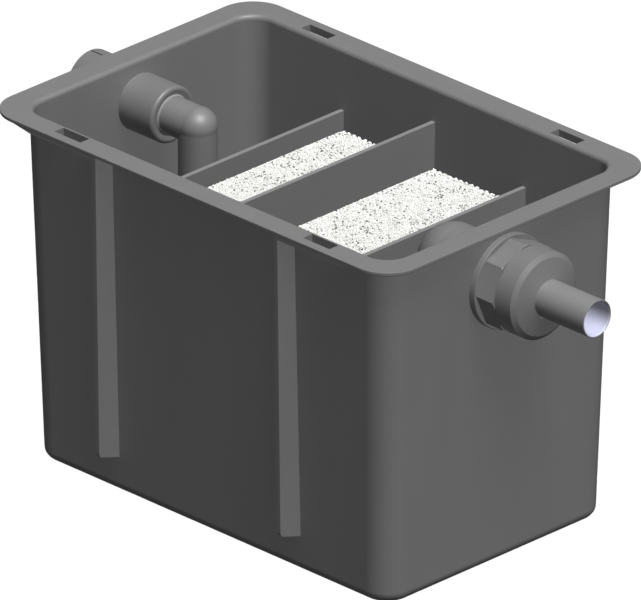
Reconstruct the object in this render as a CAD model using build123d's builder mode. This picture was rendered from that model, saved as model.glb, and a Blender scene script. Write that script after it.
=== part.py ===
"""Condensate trap with neutralising granulate, for a condensing boiler.

An open moulded tub is parted by three upright plates into an inlet chamber, two beds of
granulate and an outlet chamber. Condensate enters through a push-fit socket and a dip pipe,
spills over the first weir, sinks through the first bed, passes the openings at the foot of
the baffle, rises through the second bed, spills over the second weir and leaves through a
down-turned elbow and a hose union.

Millimetres. X runs from the inlet end to the outlet end, Z is up, and the origin is the
centre of the tub's underside.
"""

import os

from build123d import *

# Tub: overall sizes, measured at the rim
rim_length = 450.0
rim_width = 300.0
tub_height = 304.0
rim_thickness = 3.2
rim_overhang = 18.9
rim_corner_radius = 30.6
rim_edge_radius = 0.3
rim_lip_radius = 1.0
wall = 3.5
floor = 4.0
wall_lean = 0.0258
tub_corner_radius = 22.8
foot_radius = 9.0
mouth_radius = 3.8
cut_margin = 2.0

# Rim slots and the thicker pads round them
slot_length = 29.0
slot_width = 10.0
slot_offset = 37.2
slot_inset = 13.0
pad_thickness = 6.4
pad_inset = 0.4
pad_length = 69.2
pad_taper = 20.5

# Outside fins on the long sides
fin_thickness = 3.5
fin_lean = 3.3
fin_depth = 265.0
fin_foot_rise = 7.5
fin_corner_radius = 4.5

# Plates across the tub, and the openings under the middle one
plate_thickness = 4.0
chamber_length = 104.8
weir_drop = 52.5
baffle_drop = 29.4
notch_width = 44.0
notch_height = 22.0
notch_spacing = 76.0
notch_count = 3

# Granulate beds
bed_drop = 68.0

# Seats round the two wall holes, and the balls at the corners of both elbows
gasket_thickness = 2.0
hole_clearance = 0.4
thread_clearance = 0.15
seat_step = 0.5
thread_chamfer = 1.0
ball_proud = 0.25

# Outlet elbow with its threaded shank through the wall
outlet_drop = 56.3
outlet_seat_proud = 1.1
outlet_inner_seat_proud = 1.2
outlet_leg_radius = 28.75
outlet_bore_radius = 25.5
outlet_thread_radius = 29.8
outlet_corner_reach = 44.95
outlet_leg_drop = 94.0
outlet_flange_radius = 36.0
outlet_flange_thickness = 4.0

# Outlet locknut, eight sided, with a corner on top
locknut_flange_radius = 39.5
locknut_flange_thickness = 5.4
locknut_flange_edge = 0.7
locknut_sides = 8
locknut_corner_radius = 38.0
locknut_length = 18.0
locknut_chamfer = 0.9

# Outlet union nut and the hose spigot that it holds
union_gap = 0.9
union_radius = 36.5
union_length = 20.0
union_face_step = 4.0
union_edge_depth = 3.0
union_nose_length = 3.7
union_grip = 11.0
spigot_radius = 15.7
spigot_hub_radius = 16.1
spigot_bore_radius = 13.7
spigot_reach = 100.8
spigot_collar_radius = 28.8
spigot_collar_thickness = 3.5
spigot_clearance = 0.25
spigot_tip_chamfer = 0.3
spigot_mouth_bevel = 1.0

# Inlet socket outside the wall, with its threaded shank through the wall
inlet_drop = 36.4
inlet_seat_proud = 0.9
inlet_inner_seat_proud = 0.7
socket_reach = 52.0
socket_radius = 26.3
socket_edge_radius = 1.2
socket_flange_radius = 29.0
socket_flange_thickness = 4.5
socket_bore_radius = 16.2
socket_depth = 44.0
socket_mark_length = 13.0
socket_mark_width = 1.8
socket_mark_depth = 1.2
socket_mark_inset = 1.6
inlet_thread_radius = 20.9
inlet_throat_radius = 14.5
shank_reach = 16.0

# Inlet sleeve inside the wall, screwed on the shank
sleeve_radius = 24.0
sleeve_length = 36.9
sleeve_lip_radius = 2.8
sleeve_crest_radius = 20.8
sleeve_dish = 1.0

# Lip seals in the mouths of the socket and the sleeve
seal_groove_radius = 20.0
seal_groove_length = 5.0
seal_groove_inset = 3.0
seal_mouth_radius = 17.2
seal_clearance = 0.06
seal_nose = 0.3
seal_tip = 0.25

# Dip elbow, pushed into the sleeve
pipe_radius = 15.85
pipe_wall = 1.95
pipe_bore_clearance = 0.35
pipe_stop_gap = 1.5
dip_corner_reach = 27.76
dip_foot_height = 49.0
dip_edge_radius = 0.5


def outer_half_length(height):
    """Half the tub's outer length at a height above its underside."""
    return rim_length / 2 - rim_overhang - wall_lean * (tub_height - height)


def outer_half_width(height):
    """Half the tub's outer width at a height above its underside."""
    return rim_width / 2 - rim_overhang - wall_lean * (tub_height - height)


# Distance of the two weir plates from the middle, and what stands over and beside them
plate_spacing = rim_length / 2 - rim_overhang - chamber_length
slot_spacing_x = 2 * (plate_spacing + slot_offset)
pad_end = plate_spacing + pad_length

# Heights above the tub's underside
rim_underside = tub_height - rim_thickness
rim_root = rim_underside + rim_lip_radius
pad_underside = tub_height - pad_thickness
weir_top = tub_height - weir_drop
baffle_top = tub_height - baffle_drop
bed_top = tub_height - bed_drop
inlet_height = tub_height - inlet_drop
outlet_height = tub_height - outlet_drop

# Places along the outlet, counted from the wall outwards and inwards
outlet_wall_x = outer_half_length(outlet_height)
outlet_seat = outlet_wall_x + outlet_seat_proud
outlet_inner_seat = outlet_wall_x - wall - outlet_inner_seat_proud
elbow_flange_face = outlet_inner_seat - gasket_thickness
elbow_flange_back = elbow_flange_face - outlet_flange_thickness
outlet_corner_x = elbow_flange_back - outlet_corner_reach
locknut_face = outlet_seat + locknut_flange_thickness
locknut_end = locknut_face + locknut_length
union_start = locknut_end + union_gap
union_end = union_start + union_length
union_nose = union_end + union_nose_length
shank_end = union_start + union_grip
seal_end = shank_end + gasket_thickness
collar_end = seal_end + spigot_collar_thickness
spigot_tip = outlet_seat + spigot_reach
outlet_hole_radius = outlet_thread_radius + hole_clearance
nut_bore_radius = outlet_thread_radius + thread_clearance

# Places along the inlet, which lies at negative X
inlet_wall_x = -outer_half_length(inlet_height)
inlet_seat = inlet_wall_x - inlet_seat_proud
inlet_inner_seat = inlet_wall_x + wall + inlet_inner_seat_proud
socket_flange_face = inlet_seat - gasket_thickness
socket_flange_back = socket_flange_face - socket_flange_thickness
socket_mouth = inlet_seat - socket_reach
socket_stop = socket_mouth + socket_depth
socket_groove = socket_mouth + seal_groove_inset
inlet_shank_end = inlet_inner_seat + shank_reach
sleeve_mouth = inlet_inner_seat + sleeve_length
sleeve_face = sleeve_mouth - sleeve_dish
sleeve_groove = sleeve_face - seal_groove_inset
dip_axis_x = sleeve_mouth + dip_corner_reach
inlet_hole_radius = inlet_thread_radius + hole_clearance
sleeve_thread_radius = inlet_thread_radius + thread_clearance
sleeve_bore_radius = pipe_radius + pipe_bore_clearance
pipe_bore_radius = pipe_radius - pipe_wall
seal_bore_radius = pipe_radius + seal_clearance

# Half sections are drawn as distance along the axis against radius, then revolved
outlet_section = Plane(origin=(0, 0, outlet_height), x_dir=(1, 0, 0), z_dir=(0, -1, 0))
inlet_section = Plane(origin=(0, 0, inlet_height), x_dir=(1, 0, 0), z_dir=(0, -1, 0))
outlet_axis = Axis((0, 0, outlet_height), (1, 0, 0))
inlet_axis = Axis((0, 0, inlet_height), (1, 0, 0))

# Space inside the tub, which the plates and beds fill from wall to wall
with BuildPart() as tub_space:
    with BuildSketch(Plane.XY.offset(floor)):
        RectangleRounded(
            2 * (outer_half_length(floor) - wall),
            2 * (outer_half_width(floor) - wall),
            tub_corner_radius - wall,
        )
    with BuildSketch(Plane.XY.offset(tub_height + cut_margin)):
        RectangleRounded(
            2 * (outer_half_length(tub_height + cut_margin) - wall),
            2 * (outer_half_width(tub_height + cut_margin) - wall),
            tub_corner_radius - wall,
        )
    loft(ruled=True)
    fillet(tub_space.faces().sort_by(Axis.Z)[0].edges(), foot_radius - wall)

# One-piece tub with leaning walls, a flat rim, slotted pads and outside fins
with BuildPart() as tub:
    with BuildSketch(Plane.XY):
        RectangleRounded(2 * outer_half_length(0), 2 * outer_half_width(0), tub_corner_radius)
    with BuildSketch(Plane.XY.offset(tub_height)):
        RectangleRounded(
            2 * outer_half_length(tub_height), 2 * outer_half_width(tub_height), tub_corner_radius
        )
    loft(ruled=True)
    fillet(tub.faces().sort_by(Axis.Z)[0].edges(), foot_radius)

    with BuildSketch(Plane.XY.offset(rim_underside)):
        RectangleRounded(rim_length, rim_width, rim_corner_radius)
    extrude(amount=rim_thickness)
    fillet(tub.faces().sort_by(Axis.Z)[-1].edges(), rim_edge_radius)
    rim_bottom = tub.faces().filter_by(Axis.Z).sort_by(Axis.Z)[-2]
    fillet(rim_bottom.outer_wire().edges(), rim_lip_radius)

    for side in (-1, 1):
        # Each pad thickens the rim from a fin to past its slot, then runs out in a taper
        pad_root = outer_half_width(tub_height) - wall / 2
        pad_run = pad_taper * (rim_root - pad_underside) / (rim_underside - pad_underside)
        with BuildSketch(Plane.XZ.offset(-side * pad_root)):
            for end in (-1, 1):
                with BuildLine():
                    Polyline(
                        (end * plate_spacing, rim_root),
                        (end * plate_spacing, pad_underside),
                        (end * pad_end, pad_underside),
                        (end * (pad_end + pad_run), rim_root),
                        close=True,
                    )
                make_face()
        extrude(amount=rim_width / 2 - pad_inset - pad_root, dir=(0, side, 0))

        # Each fin stands on the wall from the rim almost to the foot
        fin_toe = tub_height - fin_depth
        fin_foot = fin_toe - fin_foot_rise
        fin_edge = rim_width / 2 - pad_inset
        fin_faces = [end * plate_spacing - fin_thickness / 2 for end in (-1, 1)]
        with BuildSketch(*[Plane.YZ.offset(face) for face in fin_faces]) as fin_outline:
            with BuildLine():
                Polyline(
                    (side * (outer_half_width(rim_root) - wall / 2), rim_root),
                    (side * fin_edge, rim_root),
                    (side * (fin_edge - fin_lean), fin_toe),
                    (side * (outer_half_width(fin_foot) - wall / 2), fin_foot),
                    close=True,
                )
            make_face()
            fillet(fin_outline.vertices().sort_by(Axis.Y)[1], fin_corner_radius)
        extrude(amount=fin_thickness)

    add(tub_space.part, mode=Mode.SUBTRACT)
    fillet(tub.faces().sort_by(Axis.Z)[-1].inner_wires()[0].edges(), mouth_radius)

    # Flat round seats for the fittings, level with the leaning wall at its proudest
    with BuildSketch(Plane.YZ.offset(outlet_inner_seat)):
        with Locations((0, outlet_height)):
            Circle(locknut_flange_radius - seat_step)
    extrude(amount=outlet_seat - outlet_inner_seat)
    with BuildSketch(Plane.YZ.offset(inlet_seat)):
        with Locations((0, inlet_height)):
            Circle(socket_flange_radius - seat_step)
    extrude(amount=inlet_seat_proud + wall / 2)
    with BuildSketch(Plane.YZ.offset(inlet_seat)):
        with Locations((0, inlet_height)):
            Circle(sleeve_radius - seat_step)
    extrude(amount=inlet_inner_seat - inlet_seat)

    # Holes for the two shanks
    with BuildSketch(Plane.YZ.offset(outlet_inner_seat)):
        with Locations((0, outlet_height)):
            Circle(outlet_hole_radius)
    extrude(amount=outlet_seat - outlet_inner_seat, mode=Mode.SUBTRACT)
    with BuildSketch(Plane.YZ.offset(inlet_seat)):
        with Locations((0, inlet_height)):
            Circle(inlet_hole_radius)
    extrude(amount=inlet_inner_seat - inlet_seat, mode=Mode.SUBTRACT)

    # Slots through the rim and its pads
    with BuildSketch(Plane.XY.offset(tub_height)):
        with GridLocations(slot_spacing_x, rim_width - 2 * slot_inset, 2, 2):
            Rectangle(slot_length, slot_width)
    extrude(amount=-pad_thickness, mode=Mode.SUBTRACT)
tub.part.label = "tub"

# First weir plate, between the inlet chamber and the first bed
with BuildPart() as weir_plate_inlet:
    with BuildSketch(Plane.YZ.offset(-plate_spacing - plate_thickness / 2)):
        Rectangle(rim_width, weir_top, align=(Align.CENTER, Align.MIN))
    extrude(amount=plate_thickness)
    add(tub_space.part, mode=Mode.INTERSECT)
weir_plate_inlet.part.label = "weir_plate_inlet"

# Second weir plate, between the second bed and the outlet chamber
with BuildPart() as weir_plate_outlet:
    with BuildSketch(Plane.YZ.offset(plate_spacing - plate_thickness / 2)):
        Rectangle(rim_width, weir_top, align=(Align.CENTER, Align.MIN))
    extrude(amount=plate_thickness)
    add(tub_space.part, mode=Mode.INTERSECT)
weir_plate_outlet.part.label = "weir_plate_outlet"

# Middle plate: it stands above the weirs and is open at its foot
with BuildPart() as baffle_plate:
    with BuildSketch(Plane.YZ.offset(-plate_thickness / 2)):
        Rectangle(rim_width, baffle_top, align=(Align.CENTER, Align.MIN))
        with Locations((0, floor + notch_height / 2)):
            with GridLocations(notch_spacing, 0, notch_count, 1):
                Rectangle(notch_width, notch_height, mode=Mode.SUBTRACT)
    extrude(amount=plate_thickness)
    add(tub_space.part, mode=Mode.INTERSECT)
baffle_plate.part.label = "baffle_plate"

# Granulate filled between the plates
bed_length = plate_spacing - plate_thickness
with BuildPart() as granulate_bed_first:
    with BuildSketch(Plane.YZ.offset(-plate_spacing + plate_thickness / 2)):
        Rectangle(rim_width, bed_top, align=(Align.CENTER, Align.MIN))
    extrude(amount=bed_length)
    add(tub_space.part, mode=Mode.INTERSECT)
granulate_bed_first.part.label = "granulate_bed_first"

with BuildPart() as granulate_bed_second:
    with BuildSketch(Plane.YZ.offset(plate_thickness / 2)):
        Rectangle(rim_width, bed_top, align=(Align.CENTER, Align.MIN))
    extrude(amount=bed_length)
    add(tub_space.part, mode=Mode.INTERSECT)
granulate_bed_second.part.label = "granulate_bed_second"

# Outlet elbow: a shank through the wall, a ball at the corner and a leg that dips
with BuildPart() as outlet_dip_elbow:
    with BuildSketch(outlet_section):
        with BuildLine():
            Polyline(
                (outlet_corner_x, 0),
                (outlet_corner_x, outlet_leg_radius),
                (elbow_flange_back, outlet_leg_radius),
                (elbow_flange_back, outlet_flange_radius),
                (elbow_flange_face, outlet_flange_radius),
                (elbow_flange_face, outlet_thread_radius),
                (shank_end - thread_chamfer, outlet_thread_radius),
                (shank_end, outlet_thread_radius - thread_chamfer),
                (shank_end, 0),
                close=True,
            )
        make_face()
    revolve(axis=outlet_axis)
    with Locations((outlet_corner_x, 0, outlet_height)):
        Sphere(outlet_leg_radius + ball_proud)
    with BuildSketch(Plane.XY.offset(outlet_height)):
        with Locations((outlet_corner_x, 0)):
            Circle(outlet_leg_radius)
    extrude(amount=-outlet_leg_drop)
    with Locations((outlet_corner_x, 0, outlet_height)):
        Sphere(outlet_bore_radius + ball_proud, mode=Mode.SUBTRACT)
    with BuildSketch(Plane.XY.offset(outlet_height)):
        with Locations((outlet_corner_x, 0)):
            Circle(outlet_bore_radius)
    extrude(amount=-outlet_leg_drop, mode=Mode.SUBTRACT)
    with BuildSketch(Plane.YZ.offset(outlet_corner_x)):
        with Locations((0, outlet_height)):
            Circle(outlet_bore_radius)
    extrude(amount=shank_end - outlet_corner_x, mode=Mode.SUBTRACT)
outlet_dip_elbow.part.label = "outlet_dip_elbow"

# Flat gasket between the elbow's flange and the inside of the wall
with BuildPart() as outlet_gasket:
    with BuildSketch(Plane.YZ.offset(elbow_flange_face)):
        with Locations((0, outlet_height)):
            Circle(outlet_flange_radius)
            Circle(outlet_hole_radius, mode=Mode.SUBTRACT)
    extrude(amount=gasket_thickness)
outlet_gasket.part.label = "outlet_gasket"

# Locknut: a round flange and eight flats with turned corners
with BuildPart() as outlet_locknut:
    with BuildSketch(Plane.YZ.offset(locknut_face)):
        with Locations((0, outlet_height)):
            RegularPolygon(locknut_corner_radius, locknut_sides)
    extrude(amount=locknut_length)
    with BuildSketch(outlet_section):
        with BuildLine():
            Polyline(
                (locknut_face, 0),
                (locknut_face, locknut_corner_radius),
                (locknut_end - locknut_chamfer, locknut_corner_radius),
                (locknut_end, locknut_corner_radius - locknut_chamfer),
                (locknut_end, 0),
                close=True,
            )
        make_face()
    revolve(axis=outlet_axis, mode=Mode.INTERSECT)
    with BuildSketch(outlet_section) as locknut_flange:
        with Locations((outlet_seat, 0)):
            Rectangle(
                locknut_flange_thickness, locknut_flange_radius, align=(Align.MIN, Align.MIN)
            )
        flange_corner = locknut_flange.vertices().group_by(Axis.Y)[-1].sort_by(Axis.X)[-1]
        fillet(flange_corner, locknut_flange_edge)
    revolve(axis=outlet_axis)
    with BuildSketch(Plane.YZ.offset(outlet_seat)):
        with Locations((0, outlet_height)):
            Circle(nut_bore_radius)
    extrude(amount=locknut_end - outlet_seat, mode=Mode.SUBTRACT)
outlet_locknut.part.label = "outlet_locknut"

# Union nut: smooth collar, a wide chamfer and a shallow cone round the spigot
with BuildPart() as outlet_union_nut:
    with BuildSketch(outlet_section):
        with BuildLine():
            Polyline(
                (union_start, nut_bore_radius),
                (union_start, union_radius),
                (union_end - union_edge_depth, union_radius),
                (union_end, union_radius - union_face_step),
                (union_nose, spigot_hub_radius + spigot_clearance),
                (collar_end, spigot_hub_radius + spigot_clearance),
                (collar_end, nut_bore_radius),
                close=True,
            )
        make_face()
    revolve(axis=outlet_axis)
outlet_union_nut.part.label = "outlet_union_nut"

# Flat seal between the shank and the spigot's collar
with BuildPart() as outlet_union_seal:
    with BuildSketch(Plane.YZ.offset(shank_end)):
        with Locations((0, outlet_height)):
            Circle(spigot_collar_radius)
            Circle(outlet_bore_radius, mode=Mode.SUBTRACT)
    extrude(amount=gasket_thickness)
outlet_union_seal.part.label = "outlet_union_seal"

# Hose spigot, with a hub inside the union nut and the collar that the nut draws in
with BuildPart() as outlet_spigot:
    with BuildSketch(outlet_section):
        with BuildLine():
            Polyline(
                (seal_end, spigot_bore_radius),
                (seal_end, spigot_collar_radius),
                (collar_end, spigot_collar_radius),
                (collar_end, spigot_hub_radius),
                (union_nose, spigot_hub_radius),
                (union_nose, spigot_radius),
                (spigot_tip - spigot_tip_chamfer, spigot_radius),
                (spigot_tip, spigot_radius - spigot_tip_chamfer),
                (spigot_tip, spigot_bore_radius + spigot_mouth_bevel),
                (spigot_tip - spigot_mouth_bevel, spigot_bore_radius),
                close=True,
            )
        make_face()
    revolve(axis=outlet_axis)
outlet_spigot.part.label = "outlet_spigot"

# Inlet socket: the mouth for the boiler's pipe, a flange and a shank through the wall
with BuildPart() as inlet_socket:
    with BuildSketch(inlet_section) as socket_outline:
        with BuildLine():
            Polyline(
                (socket_mouth, seal_mouth_radius),
                (socket_mouth, socket_radius),
                (socket_flange_back, socket_radius),
                (socket_flange_back, socket_flange_radius),
                (socket_flange_face, socket_flange_radius),
                (socket_flange_face, inlet_thread_radius),
                (inlet_shank_end - thread_chamfer, inlet_thread_radius),
                (inlet_shank_end, inlet_thread_radius - thread_chamfer),
                (inlet_shank_end, inlet_throat_radius),
                (socket_stop, inlet_throat_radius),
                (socket_stop, socket_bore_radius),
                (socket_groove + seal_groove_length, socket_bore_radius),
                (socket_groove + seal_groove_length, seal_groove_radius),
                (socket_groove, seal_groove_radius),
                (socket_groove, seal_mouth_radius),
                close=True,
            )
        make_face()
        mouth_edge = socket_outline.vertices().group_by(Axis.X)[0].sort_by(Axis.Y)[-1]
        fillet(mouth_edge, socket_edge_radius)
    revolve(axis=inlet_axis)
    # Sight mark on top, near the mouth
    with BuildSketch(Plane.XY.offset(inlet_height + socket_radius - socket_mark_depth)):
        with Locations((socket_mouth + socket_mark_inset, 0)):
            Rectangle(socket_mark_length, socket_mark_width, align=(Align.MIN, Align.CENTER))
    extrude(amount=socket_mark_depth, mode=Mode.SUBTRACT)
inlet_socket.part.label = "inlet_socket"

# Flat gasket between the socket's flange and the outside of the wall
with BuildPart() as inlet_gasket:
    with BuildSketch(Plane.YZ.offset(socket_flange_face)):
        with Locations((0, inlet_height)):
            Circle(socket_flange_radius)
            Circle(inlet_hole_radius, mode=Mode.SUBTRACT)
    extrude(amount=gasket_thickness)
inlet_gasket.part.label = "inlet_gasket"

# Inlet sleeve: nut on the shank at one end, dished push-fit mouth for the dip elbow at the other
with BuildPart() as inlet_sleeve:
    with BuildSketch(inlet_section) as sleeve_outline:
        with BuildLine():
            Polyline(
                (inlet_inner_seat, sleeve_thread_radius),
                (inlet_inner_seat, sleeve_radius),
                (sleeve_mouth, sleeve_radius),
                (sleeve_mouth, sleeve_crest_radius),
                (sleeve_face, seal_mouth_radius),
                (sleeve_groove, seal_mouth_radius),
                (sleeve_groove, seal_groove_radius),
                (sleeve_groove - seal_groove_length, seal_groove_radius),
                (sleeve_groove - seal_groove_length, sleeve_bore_radius),
                (inlet_shank_end, sleeve_bore_radius),
                (inlet_shank_end, sleeve_thread_radius),
                close=True,
            )
        make_face()
        lip_edge = sleeve_outline.vertices().group_by(Axis.X)[-1].sort_by(Axis.Y)[-1]
        fillet(lip_edge, sleeve_lip_radius)
    revolve(axis=inlet_axis)
inlet_sleeve.part.label = "inlet_sleeve"

# Lip seal of the sleeve, whose cone-shaped nose stands round the pipe
with BuildPart() as inlet_seal_inner:
    with BuildSketch(inlet_section):
        with BuildLine():
            Polyline(
                (sleeve_groove - seal_groove_length, seal_bore_radius),
                (sleeve_groove - seal_groove_length, seal_groove_radius),
                (sleeve_groove, seal_groove_radius),
                (sleeve_groove, seal_mouth_radius),
                (sleeve_face, seal_mouth_radius),
                (sleeve_mouth + seal_nose, seal_bore_radius + seal_tip),
                (sleeve_mouth + seal_nose, seal_bore_radius),
                close=True,
            )
        make_face()
    revolve(axis=inlet_axis)
inlet_seal_inner.part.label = "inlet_seal_inner"

# Lip seal of the outer socket, drawn as the boiler's pipe presses it, level with the bore
with BuildPart() as inlet_seal_outer:
    with BuildSketch(inlet_section):
        with BuildLine():
            Polyline(
                (socket_groove + seal_groove_length, socket_bore_radius),
                (socket_groove + seal_groove_length, seal_groove_radius),
                (socket_groove, seal_groove_radius),
                (socket_groove, seal_mouth_radius),
                (socket_mouth, seal_mouth_radius),
                (socket_mouth, socket_bore_radius),
                close=True,
            )
        make_face()
    revolve(axis=inlet_axis)
inlet_seal_outer.part.label = "inlet_seal_outer"

# Dip elbow: a short arm in the sleeve, a ball at the corner and a long leg
with BuildPart() as inlet_dip_elbow:
    arm_start = inlet_shank_end + pipe_stop_gap
    with BuildSketch(Plane.YZ.offset(arm_start)):
        with Locations((0, inlet_height)):
            Circle(pipe_radius)
    extrude(amount=dip_axis_x - arm_start)
    with Locations((dip_axis_x, 0, inlet_height)):
        Sphere(pipe_radius + ball_proud)
    with BuildSketch(Plane.XY.offset(dip_foot_height)):
        with Locations((dip_axis_x, 0)):
            Circle(pipe_radius)
    extrude(amount=inlet_height - dip_foot_height)
    pipe_ends = (
        inlet_dip_elbow.faces().sort_by(Axis.Z)[0].edges()
        + inlet_dip_elbow.faces().sort_by(Axis.X)[0].edges()
    )
    fillet(pipe_ends, dip_edge_radius)
    with Locations((dip_axis_x, 0, inlet_height)):
        Sphere(pipe_bore_radius + ball_proud, mode=Mode.SUBTRACT)
    with BuildSketch(Plane.YZ.offset(arm_start)):
        with Locations((0, inlet_height)):
            Circle(pipe_bore_radius)
    extrude(amount=dip_axis_x - arm_start, mode=Mode.SUBTRACT)
    with BuildSketch(Plane.XY.offset(dip_foot_height)):
        with Locations((dip_axis_x, 0)):
            Circle(pipe_bore_radius)
    extrude(amount=inlet_height - dip_foot_height, mode=Mode.SUBTRACT)
inlet_dip_elbow.part.label = "inlet_dip_elbow"

pieces = [
    tub,
    weir_plate_inlet,
    baffle_plate,
    weir_plate_outlet,
    granulate_bed_first,
    granulate_bed_second,
    inlet_socket,
    inlet_gasket,
    inlet_sleeve,
    inlet_seal_inner,
    inlet_seal_outer,
    inlet_dip_elbow,
    outlet_dip_elbow,
    outlet_gasket,
    outlet_locknut,
    outlet_union_nut,
    outlet_union_seal,
    outlet_spigot,
]

os.makedirs("parts", exist_ok=True)
for piece in pieces:
    export_step(piece.part, f"parts/{piece.part.label}.step")
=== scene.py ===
"""Looks of a condensate trap with neutralising granulate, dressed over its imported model.

The tub, its plates and its fittings keep their modelled shapes and get finishes of moulded plastic
and rubber. The two granulate beds are heaped from thousands of separate grains. Metres throughout,
in the model's frame: X runs from the inlet end to the outlet end, and Z is up.
"""

from __future__ import annotations

import logging
import math
import random
from collections.abc import Iterator
from dataclasses import dataclass, field
from enum import Enum
from itertools import chain
from typing import Any

import bmesh
import bpy
import numpy as np
from mathutils import Euler, Matrix, Vector, noise

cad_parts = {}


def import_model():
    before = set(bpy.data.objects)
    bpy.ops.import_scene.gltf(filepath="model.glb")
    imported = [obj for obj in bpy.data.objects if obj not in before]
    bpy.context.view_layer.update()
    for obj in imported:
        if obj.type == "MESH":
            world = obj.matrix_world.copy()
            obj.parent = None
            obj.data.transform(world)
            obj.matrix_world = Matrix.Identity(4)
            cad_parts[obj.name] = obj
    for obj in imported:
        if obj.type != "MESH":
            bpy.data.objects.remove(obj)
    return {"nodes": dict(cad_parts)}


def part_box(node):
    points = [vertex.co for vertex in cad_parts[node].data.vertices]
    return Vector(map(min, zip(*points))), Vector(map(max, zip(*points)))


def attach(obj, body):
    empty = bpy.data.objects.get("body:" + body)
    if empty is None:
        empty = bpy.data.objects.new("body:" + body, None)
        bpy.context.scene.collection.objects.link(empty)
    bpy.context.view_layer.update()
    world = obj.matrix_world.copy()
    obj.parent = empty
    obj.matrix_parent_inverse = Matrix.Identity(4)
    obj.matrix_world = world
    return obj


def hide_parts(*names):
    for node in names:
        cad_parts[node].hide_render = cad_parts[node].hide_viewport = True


log = logging.getLogger("condensate_trap")

Colour = tuple[float, float, float]
Triple = tuple[float, float, float]  # X, Y and Z of a place, a direction or a stretch
Span = tuple[float, float]  # a lowest and a highest value
Nodes = dict[str, bpy.types.Object]

# Places of the Mix node's colour sockets, whose names it repeats for other kinds of value
MIX_AMOUNT = 0
MIX_NONE = 6
MIX_FULL = 7
MIX_RESULT = 2


class Bed(Enum):
    """The two granulate beds, each with the name of its node."""

    FIRST = "granulate_bed_first"
    SECOND = "granulate_bed_second"


class Signal:
    """A value running through a finish, which Python's operators combine."""

    def __init__(self, graph: FinishGraph, socket: bpy.types.NodeSocket) -> None:
        """Wraps a node's output.

        Args:
            graph: The graph that new nodes join.
            socket: The output that carries the value.
        """
        self.graph = graph
        self.socket = socket

    def __add__(self, other: Signal | float) -> Signal:
        """Sum with another value."""
        return self.graph.maths("ADD", self, other)

    def __radd__(self, other: float) -> Signal:
        """Sum with a number on the left."""
        return self.graph.maths("ADD", other, self)

    def __sub__(self, other: Signal | float) -> Signal:
        """Difference from another value."""
        return self.graph.maths("SUBTRACT", self, other)

    def __rsub__(self, other: float) -> Signal:
        """Difference from a number on the left."""
        return self.graph.maths("SUBTRACT", other, self)

    def __mul__(self, other: Signal | float) -> Signal:
        """Product with another value."""
        return self.graph.maths("MULTIPLY", self, other)

    def __rmul__(self, other: float) -> Signal:
        """Product with a number on the left."""
        return self.graph.maths("MULTIPLY", other, self)

    def __pow__(self, other: float) -> Signal:
        """The value raised to a power."""
        return self.graph.maths("POWER", self, other)

    def between(self, low: float, high: float) -> Signal:
        """The value spread so that low becomes 0 and high becomes 1, and held there."""
        made = self.graph.node(
            "ShaderNodeMapRange",
            {"clamp": True},
            {"Value": self, "From Min": low, "From Max": high, "To Min": 0.0, "To Max": 1.0},
        )
        return Signal(self.graph, made.outputs["Result"])


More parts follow.
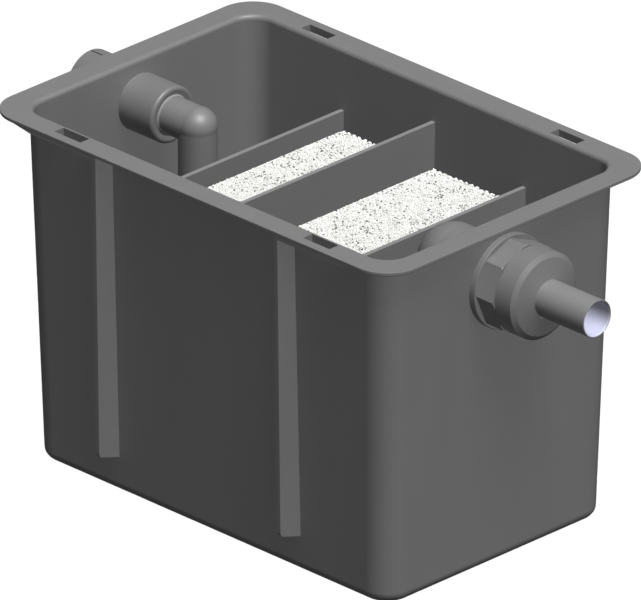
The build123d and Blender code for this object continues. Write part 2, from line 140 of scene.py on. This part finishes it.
class FinishGraph:
    """A material under construction.

    Attributes:
        octave_share: Strength of each finer octave of noise against the one before.
    """

    octave_share = 0.55

    def __init__(self, name: str) -> None:
        """Starts an empty node material.

        Args:
            name: The material's name.
        """
        self.material = bpy.data.materials.new(name)
        self.material.use_nodes = True
        self.tree = self.material.node_tree
        self.tree.nodes.clear()

    def node(
        self,
        kind: str,
        settings: dict[str, Any] | None = None,
        sockets: dict[str | int, Any] | None = None,
    ) -> bpy.types.Node:
        """Adds a node, sets it up, then fills its sockets.

        Args:
            kind: Blender's name for the type of node.
            settings: Properties of the node, set before its sockets.
            sockets: A value, signal or output for each input, by name or place.

        Returns:
            The new node.
        """
        made = self.tree.nodes.new(kind)
        for key, value in (settings or {}).items():
            setattr(made, key, value)
        for key, value in (sockets or {}).items():
            if isinstance(value, Signal):
                self.tree.links.new(value.socket, made.inputs[key])
            elif isinstance(value, bpy.types.NodeSocket):
                self.tree.links.new(value, made.inputs[key])
            else:
                made.inputs[key].default_value = value
        return made

    def maths(self, operation: str, first: Signal | float, second: Signal | float) -> Signal:
        """Combines two values through a Math node."""
        made = self.node("ShaderNodeMath", {"operation": operation}, {0: first, 1: second})
        return Signal(self, made.outputs[0])

    def place(self) -> bpy.types.NodeSocket:
        """Object coordinates, in metres."""
        return self.node("ShaderNodeTexCoord").outputs["Object"]

    def axes(self) -> tuple[Signal, Signal, Signal]:
        """X, Y and Z of the point, as three values."""
        made = self.node("ShaderNodeSeparateXYZ", {}, {0: self.place()})
        return tuple(Signal(self, made.outputs[axis]) for axis in "XYZ")

    def cloud(self, size: float, detail: float, stretch: Triple = (1.0, 1.0, 1.0)) -> Signal:
        """Soft noise from 0 to 1.

        Args:
            size: Size of one blotch, in metres.
            detail: How many finer octaves lie over it.
            stretch: Factor on X, Y and Z before the noise is read.

        Returns:
            The noise.
        """
        mapping = self.node("ShaderNodeMapping", {}, {"Vector": self.place(), "Scale": stretch})
        made = self.node(
            "ShaderNodeTexNoise",
            {},
            {
                "Vector": mapping.outputs["Vector"],
                "Scale": 1.0 / size,
                "Detail": detail,
                "Roughness": self.octave_share,
            },
        )
        return Signal(self, made.outputs["Fac"])

    def blend(
        self,
        amount: Signal,
        none: Colour | bpy.types.NodeSocket,
        full: Colour | bpy.types.NodeSocket,
    ) -> bpy.types.NodeSocket:
        """Mixes two colours.

        Args:
            amount: 0 gives the first colour and 1 the second.
            none: The first colour.
            full: The second colour.

        Returns:
            The mixed colour.
        """
        inputs: dict[str | int, Any] = {MIX_AMOUNT: amount}
        for place, end in ((MIX_NONE, none), (MIX_FULL, full)):
            inputs[place] = end if isinstance(end, bpy.types.NodeSocket) else (*end, 1.0)
        made = self.node("ShaderNodeMix", {"data_type": "RGBA"}, inputs)
        return made.outputs[MIX_RESULT]

    def relief(self, height: Signal, depth: float) -> bpy.types.NodeSocket:
        """Turns a height from 0 to 1 into a relief that deep, in metres."""
        made = self.node("ShaderNodeBump", {}, {"Height": height, "Distance": depth})
        return made.outputs["Normal"]

    def finish(self, **sockets: Any) -> bpy.types.Material:
        """Closes the graph with a surface shader.

        Args:
            sockets: Inputs of the shader, with underscores for the spaces in their names.

        Returns:
            The finished material.
        """
        named = {key.replace("_", " "): value for key, value in sockets.items()}
        shader = self.node("ShaderNodeBsdfPrincipled", {}, named)
        self.node("ShaderNodeOutputMaterial", {}, {"Surface": shader.outputs["BSDF"]})
        return self.material


def hold(value: float, low: float, high: float) -> float:
    """A value held between two limits."""
    return min(high, max(low, value))


def shade(colour: Colour, factor: float) -> Colour:
    """A colour made lighter or darker by a factor."""
    return tuple(min(1.0, channel * factor) for channel in colour)


@dataclass(frozen=True)
class MouldedPlastic:
    """Satin moulded plastic: faint flow marks, a fine grain and an uneven sheen."""

    name: str
    colour: Colour = (0.205, 0.205, 0.205)
    roughness: float = 0.53
    gloss: float = 0.95
    mottle: float = 0.025
    flow_size: float = 0.035
    flow_stretch: Triple = (1.0, 1.0, 0.22)
    flow_span: Span = (0.3, 0.7)
    flow_sheen: float = 0.04
    grain_size: float = 0.0007
    grain_depth: float = 0.00003
    scuff_size: float = 0.004
    scuff_stretch: Triple = (0.25, 1.0, 1.6)
    scuff_span: Span = (0.55, 0.8)
    scuff_sheen: float = 0.05

    def tone(self, graph: FinishGraph) -> bpy.types.NodeSocket:
        """Colour, with the slow change that the melt's flow leaves."""
        flow = graph.cloud(self.flow_size, detail=3.0, stretch=self.flow_stretch)
        return graph.blend(
            flow.between(*self.flow_span),
            shade(self.colour, 1.0 - self.mottle),
            shade(self.colour, 1.0 + self.mottle),
        )

    def sheen(self, graph: FinishGraph) -> Signal:
        """Roughness, a little duller where handling has scuffed the skin."""
        scuffs = graph.cloud(self.scuff_size, detail=2.0, stretch=self.scuff_stretch)
        flow = graph.cloud(self.flow_size, detail=1.0)
        smoothest = self.roughness - self.flow_sheen / 2
        rubbed = scuffs.between(*self.scuff_span)
        return smoothest + flow * self.flow_sheen + rubbed * self.scuff_sheen

    def skin(self, graph: FinishGraph) -> Signal:
        """Height of the fine grain."""
        return graph.cloud(self.grain_size, detail=1.0)

    def material(self) -> bpy.types.Material:
        """The finish as a material."""
        graph = FinishGraph(self.name)
        return graph.finish(
            Base_Color=self.tone(graph),
            Roughness=self.sheen(graph),
            Specular_IOR_Level=self.gloss,
            Normal=graph.relief(self.skin(graph), self.grain_depth),
        )


@dataclass(frozen=True)
class SheetWithPaintedHighlight(MouldedPlastic):
    """Plastic sheet whose top face and topmost edge are painted paler than its sides, a painted
    highlight.
    """

    top: float = 0.0
    highlight_lift: float = 1.25
    highlight_depth: float = 0.0002

    def tone(self, graph: FinishGraph) -> bpy.types.NodeSocket:
        """Colour, with the painted highlight on the top."""
        # Painted highlight: the top face and the top of the sides are drawn paler
        painted_highlight = graph.axes()[2].between(self.top - 2 * self.highlight_depth, self.top - self.highlight_depth)
        return graph.blend(painted_highlight, super().tone(graph), shade(self.colour, self.highlight_lift))


@dataclass(frozen=True)
class ThreadedPlastic(MouldedPlastic):
    """Moulded plastic with a screw thread between two places along an X axis."""

    thread_start: float = 0.0
    thread_end: float = 0.0
    axis_height: float = 0.0
    pitch: float = 0.002309
    thread_depth: float = 0.0009
    run_out: float = 0.0003

    def material(self) -> bpy.types.Material:
        """The finish as a material."""
        graph = FinishGraph(self.name)
        x, y, z = graph.axes()
        turn = graph.maths("ARCTAN2", z - self.axis_height, y) * (self.pitch / math.tau)
        ridge = graph.maths("PINGPONG", x - self.thread_start + turn, self.pitch / 2)
        threaded = x.between(self.thread_start - self.run_out, self.thread_start)
        threaded = threaded * (1.0 - x.between(self.thread_end, self.thread_end + self.run_out))
        return graph.finish(
            Base_Color=self.tone(graph),
            Roughness=self.sheen(graph),
            Specular_IOR_Level=self.gloss,
            Normal=graph.relief(ridge * (2.0 / self.pitch) * threaded, self.thread_depth),
        )


@dataclass(frozen=True)
class LinedPlastic(MouldedPlastic):
    """Moulded plastic whose bore along an X axis has a pale film near its mouth.

    The film is full at the foot of the bore and fades into the plain plastic towards its top:
    painted shade where the top of the bore faces away from the light.
    """

    lining: Colour = (0.655, 0.67, 0.85)
    axis_height: float = 0.0
    mouth: float = 0.0
    lining_length: float = 0.024
    lining_radius: float = 0.0148
    painted_shade_start: float = -0.0105
    painted_shade_full: float = 0.0015
    lining_edge: float = 0.0002

    def material(self) -> bpy.types.Material:
        """The finish as a material."""
        graph = FinishGraph(self.name)
        x, y, z = graph.axes()
        height = z - self.axis_height
        radius = (y * y + height * height) ** 0.5
        inside = 1.0 - radius.between(self.lining_radius, self.lining_radius + self.lining_edge)
        end = self.mouth - self.lining_length
        film_with_painted_shade = inside * x.between(end - self.lining_edge, end)
        # Painted shade: the pale film gives way to the dark plastic towards the top of the bore,
        # which faces away from the light
        film_with_painted_shade = film_with_painted_shade * (1.0 - height.between(self.painted_shade_start, self.painted_shade_full))
        return graph.finish(
            Base_Color=graph.blend(film_with_painted_shade, self.tone(graph), self.lining),
            Roughness=self.sheen(graph),
            Specular_IOR_Level=self.gloss,
            Normal=graph.relief(self.skin(graph), self.grain_depth),
        )


@dataclass(frozen=True)
class SealRubber:
    """Matte rubber with a dusty bloom."""

    name: str = "seal_rubber"
    colour: Colour = (0.285, 0.285, 0.285)
    roughness: float = 0.7
    bloom_size: float = 0.004
    bloom_dark: float = 0.86
    bloom_light: float = 1.12
    bloom_sheen: float = 0.1
    grain_size: float = 0.0005
    grain_depth: float = 0.00004

    def material(self) -> bpy.types.Material:
        """The finish as a material."""
        graph = FinishGraph(self.name)
        bloom = graph.cloud(self.bloom_size, detail=3.0)
        return graph.finish(
            Base_Color=graph.blend(
                bloom,
                shade(self.colour, self.bloom_dark),
                shade(self.colour, self.bloom_light),
            ),
            Roughness=self.roughness - self.bloom_sheen / 2 + bloom * self.bloom_sheen,
            Normal=graph.relief(graph.cloud(self.grain_size, detail=1.0), self.grain_depth),
        )


@dataclass(frozen=True)
class MineralGrains:
    """Crushed white mineral: a tone of its own for each grain, and powdery faces."""

    name: str = "white_granulate"
    light: Colour = (0.97, 0.965, 0.94)
    dark: Colour = (0.05, 0.05, 0.048)
    tone_attribute: str = "grain_tone"
    roughness: float = 0.85
    vein_size: float = 0.0012
    vein_contrast: float = 0.16
    vein_sheen: float = 0.1
    powder_size: float = 0.0005
    powder_depth: float = 0.00008

    def material(self) -> bpy.types.Material:
        """The finish as a material."""
        graph = FinishGraph(self.name)
        layer = graph.node("ShaderNodeAttribute", {"attribute_name": self.tone_attribute})
        veins = graph.cloud(self.vein_size, detail=2.0)
        veined = 1.0 - self.vein_contrast / 2 + veins * self.vein_contrast
        tone = Signal(graph, layer.outputs["Fac"]) * veined
        return graph.finish(
            Base_Color=graph.blend(tone.between(0.0, 1.0), self.dark, self.light),
            Roughness=self.roughness - self.vein_sheen / 2 + veins * self.vein_sheen,
            Normal=graph.relief(graph.cloud(self.powder_size, detail=1.0), self.powder_depth),
        )


@dataclass(frozen=True)
class PaleFloor:
    """A white studio floor, so bright that no shadow shows on it."""

    name: str = "studio_floor"
    albedo: float = 0.30
    glow: float = 0.72

    def material(self) -> bpy.types.Material:
        """The finish as a material."""
        graph = FinishGraph(self.name)
        return graph.finish(
            Base_Color=(self.albedo, self.albedo, self.albedo, 1.0),
            Roughness=1.0,
            Specular_IOR_Level=0.0,
            Emission_Color=(1.0, 1.0, 1.0, 1.0),
            Emission_Strength=self.glow,
        )


def dress(piece: bpy.types.Object, material: bpy.types.Material) -> None:
    """Gives a piece one material all over and reports it."""
    piece.data.materials.clear()
    piece.data.materials.append(material)
    log.info("%s: %d faces, %s", piece.name, len(piece.data.polygons), material.name)


def edit_alone(piece: bpy.types.Object) -> None:
    """Deselects everything else and opens one piece in edit mode, with nothing in it selected."""
    bpy.ops.object.select_all(action="DESELECT")
    piece.select_set(True)
    bpy.context.view_layer.objects.active = piece
    bpy.ops.object.mode_set(mode="EDIT")
    bpy.ops.mesh.select_all(action="DESELECT")


def sink(block: bpy.types.Object, depth: float, above: float, beyond: float) -> None:
    """Lowers some vertices of a block that is open in edit mode.

    Args:
        block: The block.
        depth: How far they sink.
        above: The height that they lie above.
        beyond: The place across the tub that they lie beyond.
    """
    shape = bmesh.from_edit_mesh(block.data)
    for vertex in shape.verts:
        vertex.select_set(vertex.co.z > above and vertex.co.y > beyond)
    shape.select_flush(True)
    bmesh.update_edit_mesh(block.data)
    bpy.ops.transform.translate(value=(0.0, 0.0, -depth))


@dataclass
class TubAssembly:
    """The one-piece tub and the three plates that part it."""

    shell: MouldedPlastic = MouldedPlastic("tub_plastic")
    plates: tuple[str, ...] = ("weir_plate_inlet", "baffle_plate", "weir_plate_outlet")
    plate_roughness: float = 0.56
    plate_flow: Triple = (1.0, 0.3, 1.0)

    def build(self, nodes: Nodes) -> None:
        """Dresses the tub and its plates.

        Args:
            nodes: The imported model's nodes by name.
        """
        dress(nodes["tub"], self.shell.material())
        for name in self.plates:
            # Each plate's top face gets a painted highlight
            sheet = SheetWithPaintedHighlight(
                f"{name}_plastic",
                roughness=self.plate_roughness,
                flow_stretch=self.plate_flow,
                top=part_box(name)[1].z,
            )
            dress(nodes[name], sheet.material())


@dataclass
class InletAssembly:
    """The socket, the sleeve and the dip elbow, with their seals."""

    fitting: MouldedPlastic = MouldedPlastic("inlet_fitting_plastic", (0.206,) * 3, 0.48)
    pipe: MouldedPlastic = MouldedPlastic("inlet_pipe_plastic", (0.225,) * 3, 0.52)
    rubber: SealRubber = SealRubber("inlet_seal_rubber")

    def build(self, nodes: Nodes) -> None:
        """Dresses the inlet's pieces.

        Args:
            nodes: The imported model's nodes by name.
        """
        fitting = self.fitting.material()
        for name in ("inlet_socket", "inlet_sleeve"):
            dress(nodes[name], fitting)
        dress(nodes["inlet_dip_elbow"], self.pipe.material())
        rubber = self.rubber.material()
        for name in ("inlet_gasket", "inlet_seal_inner", "inlet_seal_outer"):
            dress(nodes[name], rubber)


@dataclass
class OutletAssembly:
    """The threaded elbow, its nuts and the hose spigot, with their seals."""

    locknut: MouldedPlastic = MouldedPlastic("locknut_plastic", (0.22,) * 3, 0.46)
    union: MouldedPlastic = MouldedPlastic("union_nut_plastic", (0.213,) * 3, 0.46)
    rubber: SealRubber = SealRubber("outlet_seal_rubber")
    elbow_colour: Colour = (0.208, 0.208, 0.208)
    spigot_colour: Colour = (0.25, 0.25, 0.254)
    pipe_roughness: float = 0.5

    def build(self, nodes: Nodes) -> None:
        """Dresses the outlet's pieces.

        Args:
            nodes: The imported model's nodes by name.
        """
        low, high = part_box("outlet_spigot")
        axis_height = (low.z + high.z) / 2
        elbow = ThreadedPlastic(
            "outlet_elbow_plastic",
            self.elbow_colour,
            self.pipe_roughness,
            thread_start=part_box("outlet_gasket")[1].x,
            thread_end=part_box("outlet_dip_elbow")[1].x,
            axis_height=axis_height,
        )
        spigot = LinedPlastic(
            "spigot_plastic",
            self.spigot_colour,
            self.pipe_roughness,
            axis_height=axis_height,
            mouth=high.x,
        )
        dress(nodes["outlet_dip_elbow"], elbow.material())
        dress(nodes["outlet_spigot"], spigot.material())
        dress(nodes["outlet_locknut"], self.locknut.material())
        dress(nodes["outlet_union_nut"], self.union.material())
        rubber = self.rubber.material()
        for name in ("outlet_gasket", "outlet_union_seal"):
            dress(nodes[name], rubber)


@dataclass
class Grain:
    """One crushed grain, modelled once and then copied into the heaps."""

    radius: float = 0.00135
    chip: float = 0.00032
    stretch: float = 1.15
    squash: float = 0.8
    seed: int = 5

    def build(self) -> bpy.types.Object:
        """Chips a grain out of a small faceted ball.

        Returns:
            The grain, centred on the origin.
        """
        bpy.ops.object.select_all(action="DESELECT")
        bpy.ops.mesh.primitive_ico_sphere_add(subdivisions=1, radius=self.radius)
        grain = bpy.context.object
        grain.name = "grain"
        edit_alone(grain)
        bpy.ops.mesh.select_all(action="SELECT")
        bpy.ops.transform.vertex_random(offset=self.chip, uniform=0.0, normal=0.0, seed=self.seed)
        bpy.ops.transform.resize(value=(1.0, self.stretch, self.squash))
        bpy.ops.object.mode_set(mode="OBJECT")
        return grain


@dataclass
class GranulateBeds:
    """Two heaps of crushed mineral that stand for the plain bed solids.

    A heap is a lowered copy of its bed's solid under staggered rows of grains. It slumps close to
    the far wall, where a row of larger grains lies along the wall.
    """

    finish: MineralGrains = MineralGrains()
    grain: Grain = field(default_factory=Grain)
    seed: int = 11
    pitch: float = 0.0023
    shake: float = 0.00045
    unevenness: float = 0.0003
    sizes: Span = (0.85, 1.12)
    tones: Span = (0.93, 1.0)
    top_gap: float = 0.0017
    edge_margin: float = 1.05
    core_drop: float = 0.0015
    core_tone: float = 0.96
    speck_share: float = 0.19
    speck_size: float = 0.78
    speck_tone: float = 0.75
    speck_patch: float = 0.011
    speck_layer: float = 2.25
    speck_mean: float = 0.5
    speck_contrast: float = 1.3
    wall_row_pitch: float = 0.0058
    wall_row_size: float = 1.75
    wall_row_spread: Span = (0.9, 1.1)
    wall_row_margin: float = 1.15
    wall_row_gap: float = 0.0021
    slump_width: float = 0.005
    slump_depth: float = 0.002
    weld_distance: float = 1e-6
    top_tolerance: float = 1e-5
    wall_tolerance: float = 1e-4

    def core(self, bed: Bed, nodes: Nodes) -> bpy.types.Object:
        """Copies a bed's solid with a lower top, lowest at the far wall, so only grains show.

        Args:
            bed: Which bed.
            nodes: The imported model's nodes by name.

        Returns:
            The lowered block.
        """
        low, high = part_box(bed.value)
        name = bed.value.replace("bed", "heap")
        block = bpy.data.objects.new(name, nodes[bed.value].data.copy())
        bpy.context.scene.collection.objects.link(block)
        edit_alone(block)
        bpy.ops.mesh.select_all(action="SELECT")
        bpy.ops.mesh.remove_doubles(threshold=self.weld_distance)
        bpy.ops.mesh.select_all(action="DESELECT")
        shape = bmesh.from_edit_mesh(block.data)
        bmesh.ops.bisect_plane(
            shape,
            geom=[*shape.verts, *shape.edges, *shape.faces],
            plane_co=(0.0, high.y - self.slump_width, 0.0),
            plane_no=(0.0, 1.0, 0.0),
        )
        bmesh.update_edit_mesh(block.data)
        top = high.z - self.top_tolerance
        sink(block, self.core_drop, top, low.y - self.wall_tolerance)
        sink(block, self.slump_depth, top - self.core_drop, high.y - self.wall_tolerance)
        bpy.ops.object.mode_set(mode="OBJECT")
        return block

    def slump(self, y: float, far: float) -> float:
        """How far the heap has sunk at a distance across the tub, close to its far wall."""
        return self.slump_depth * hold((y - far) / self.slump_width + 1.0, 0.0, 1.0)

    def rows(self, bed: Bed, dice: random.Random) -> Iterator[tuple[Vector, float]]:
        """Places and sizes of the grains: staggered rows, shaken a little.

        Args:
            bed: Which bed.
            dice: Source of the shaking.

        Yields:
            The centre and the size of each grain.
        """
        low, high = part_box(bed.value)
        edge = self.grain.radius * self.edge_margin
        top = high.z - self.top_gap
        width = high.y - low.y - 2 * edge
        row_step = self.pitch * math.sqrt(3) / 2
        steps = round(width / row_step)
        for row in range(steps + 1):
            y = low.y + edge + row * width / steps
            start = low.x + edge + (self.pitch / 2 if row % 2 else 0.0)
            for column in range(int((high.x - edge - start) / self.pitch) + 1):
                x = start + column * self.pitch + dice.uniform(-self.shake, self.shake)
                spot = Vector((x, y + dice.uniform(-self.shake, self.shake), top))
                spot.x = hold(spot.x, low.x + edge, high.x - edge)
                spot.y = hold(spot.y, low.y + edge, high.y - edge)
                spot.z += dice.uniform(-self.unevenness, self.unevenness)
                spot.z -= self.slump(spot.y, high.y)
                yield spot, dice.uniform(*self.sizes)

    def wall_row(self, bed: Bed, dice: random.Random) -> Iterator[tuple[Vector, float]]:
        """Places and sizes of the larger grains along the far wall.

        Args:
            bed: Which bed.
            dice: Source of their sizes.

        Yields:
            The centre and the size of each grain.
        """
        low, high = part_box(bed.value)
        edge = self.grain.radius * self.wall_row_size * self.wall_row_margin
        for column in range(int((high.x - low.x - 2 * edge) / self.wall_row_pitch) + 1):
            x = low.x + edge + column * self.wall_row_pitch
            spot = Vector((x, high.y - edge, high.z - self.wall_row_gap))
            yield spot, self.wall_row_size * dice.uniform(*self.wall_row_spread)

    def is_speck(self, spot: Vector, dice: random.Random) -> bool:
        """Whether a grain is one of the dark specks, which gather in patches."""
        place = spot / self.speck_patch + Vector((0.0, 0.0, self.speck_layer))
        crowd = self.speck_mean + self.speck_contrast * noise.noise(place)
        return dice.random() < self.speck_share * hold(crowd, 0.0, 1.0) / self.speck_mean

    def heap(self, bed: Bed, grain: bpy.types.Object, nodes: Nodes) -> bpy.types.Object:
        """Covers a bed with grains.

        Args:
            bed: Which bed.
            grain: The grain that is copied.
            nodes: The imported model's nodes by name.

        Returns:
            The heap, as one mesh.
        """
        dice = random.Random(f"{self.seed} {bed.value}")
        block = self.core(bed, nodes)
        shape = bmesh.new()
        shape.from_mesh(block.data)
        tones = [self.core_tone] * len(shape.verts)
        for spot, size in chain(self.rows(bed, dice), self.wall_row(bed, dice)):
            first = len(shape.verts)
            shape.from_mesh(grain.data)
            shape.verts.ensure_lookup_table()
            tone = dice.uniform(*self.tones)
            # The larger grains of the wall's row are never specks
            if size <= self.sizes[1] and self.is_speck(spot, dice):
                tone = self.speck_tone * dice.random()
                size *= self.speck_size
            turn = Euler([dice.uniform(0.0, math.tau) for _ in range(3)]).to_matrix().to_4x4()
            seat = Matrix.Translation(spot) @ turn @ Matrix.Scale(size, 4)
            for vertex in shape.verts[first:]:
                vertex.co = seat @ vertex.co
                tones.append(tone)
        shape.to_mesh(block.data)
        shape.free()
        layer = block.data.attributes.new(self.finish.tone_attribute, "FLOAT", "POINT")
        layer.data.foreach_set("value", np.array(tones, np.float32))
        return block

    def build(self, nodes: Nodes) -> None:
        """Makes both heaps and puts them in place of the plain beds.

        Args:
            nodes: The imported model's nodes by name.
        """
        grain = self.grain.build()
        material = self.finish.material()
        for bed in Bed:
            heap = self.heap(bed, grain, nodes)
            dress(heap, material)
            # White grains aren't to light the dark plates beside them
            heap.visible_diffuse = False
            heap.visible_glossy = False
            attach(heap, "vessel")
            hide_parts(bed.value)
        bpy.data.objects.remove(grain)


@dataclass
class Studio:
    """A white floor, soft lights and a long lens that stands where the photograph was seen from."""

    azimuth: float = math.radians(45.05)
    elevation: float = math.radians(25.395)
    target: Triple = (0.00058, 0.00035, 0.16115)
    distance: float = 22.4646
    lens: float = 1600.0
    clip: Span = (1.0, 60.0)
    key_direction: Triple = (0.44, -0.131, 0.889)
    key_open: float = 3.18
    key_shaded: float = 0.5
    fill_direction: Triple = (-0.9, 0.43, 0.0)
    fill: float = 1.8
    spread: float = 0.4
    ambient: float = 0.094
    floor_size: float = 12.0
    floor: PaleFloor = PaleFloor()

    def sun(self, name: str, strength: float, direction: Triple) -> bpy.types.Object:
        """Adds a distant soft light.

        Args:
            name: The light's name.
            strength: Its strength.
            direction: Where it comes from.

        Returns:
            The light.
        """
        lamp = bpy.data.lights.new(name, "SUN")
        lamp.energy = strength
        lamp.angle = self.spread
        light = bpy.data.objects.new(name, lamp)
        light.rotation_euler = Vector(direction).to_track_quat("Z", "Y").to_euler()
        bpy.context.scene.collection.objects.link(light)
        return light

    def lights(self) -> None:
        """Adds an even key light, one that casts soft shadows, and a level fill from behind."""
        self.sun("key_open", self.key_open, self.key_direction).data.use_shadow = False
        self.sun("key_shaded", self.key_shaded, self.key_direction)
        self.sun("fill", self.fill, self.fill_direction).visible_glossy = False

    def air(self) -> None:
        """Surrounds everything with air that is white to the camera and dim as a light."""
        world = bpy.data.worlds.new("studio_air")
        world.use_nodes = True
        tree = world.node_tree
        seen = tree.nodes.new("ShaderNodeLightPath").outputs["Is Camera Ray"]
        glow = tree.nodes["Background"].inputs
        glow["Color"].default_value = (1.0, 1.0, 1.0, 1.0)
        strength = tree.nodes.new("ShaderNodeMapRange")
        strength.inputs["To Min"].default_value = self.ambient
        strength.inputs["To Max"].default_value = 1.0
        tree.links.new(seen, strength.inputs["Value"])
        tree.links.new(strength.outputs["Result"], glow["Strength"])
        bpy.context.scene.world = world
        bpy.context.scene.view_settings.view_transform = "Standard"

    def ground(self) -> None:
        """Lays the floor, which lights nothing and shows in no gloss."""
        bpy.ops.object.select_all(action="DESELECT")
        bpy.ops.mesh.primitive_grid_add(x_subdivisions=2, y_subdivisions=2, size=self.floor_size)
        floor = bpy.context.object
        floor.name = "studio_floor"
        dress(floor, self.floor.material())
        floor.visible_diffuse = False
        floor.visible_glossy = False

    def camera(self) -> None:
        """Stands the camera."""
        lens = bpy.data.cameras.new("photo_camera")
        lens.lens = self.lens
        lens.clip_start, lens.clip_end = self.clip
        camera = bpy.data.objects.new("photo_camera", lens)
        back = Vector((
            math.sin(self.azimuth) * math.cos(self.elevation),
            -math.cos(self.azimuth) * math.cos(self.elevation),
            math.sin(self.elevation),
        ))
        camera.location = Vector(self.target) + back * self.distance
        camera.rotation_euler = back.to_track_quat("Z", "Y").to_euler()
        bpy.context.scene.collection.objects.link(camera)
        bpy.context.scene.camera = camera

    def build(self) -> None:
        """Sets up the whole studio."""
        self.ground()
        self.lights()
        self.air()
        self.camera()


def main() -> None:
    """Dresses the model, heaps the beds and sets up the studio."""
    logging.basicConfig(level=logging.INFO, format="%(message)s")
    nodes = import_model()["nodes"]
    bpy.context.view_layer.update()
    TubAssembly().build(nodes)
    InletAssembly().build(nodes)
    OutletAssembly().build(nodes)
    GranulateBeds().build(nodes)
    Studio().build()


if __name__ == "__main__":
    main()
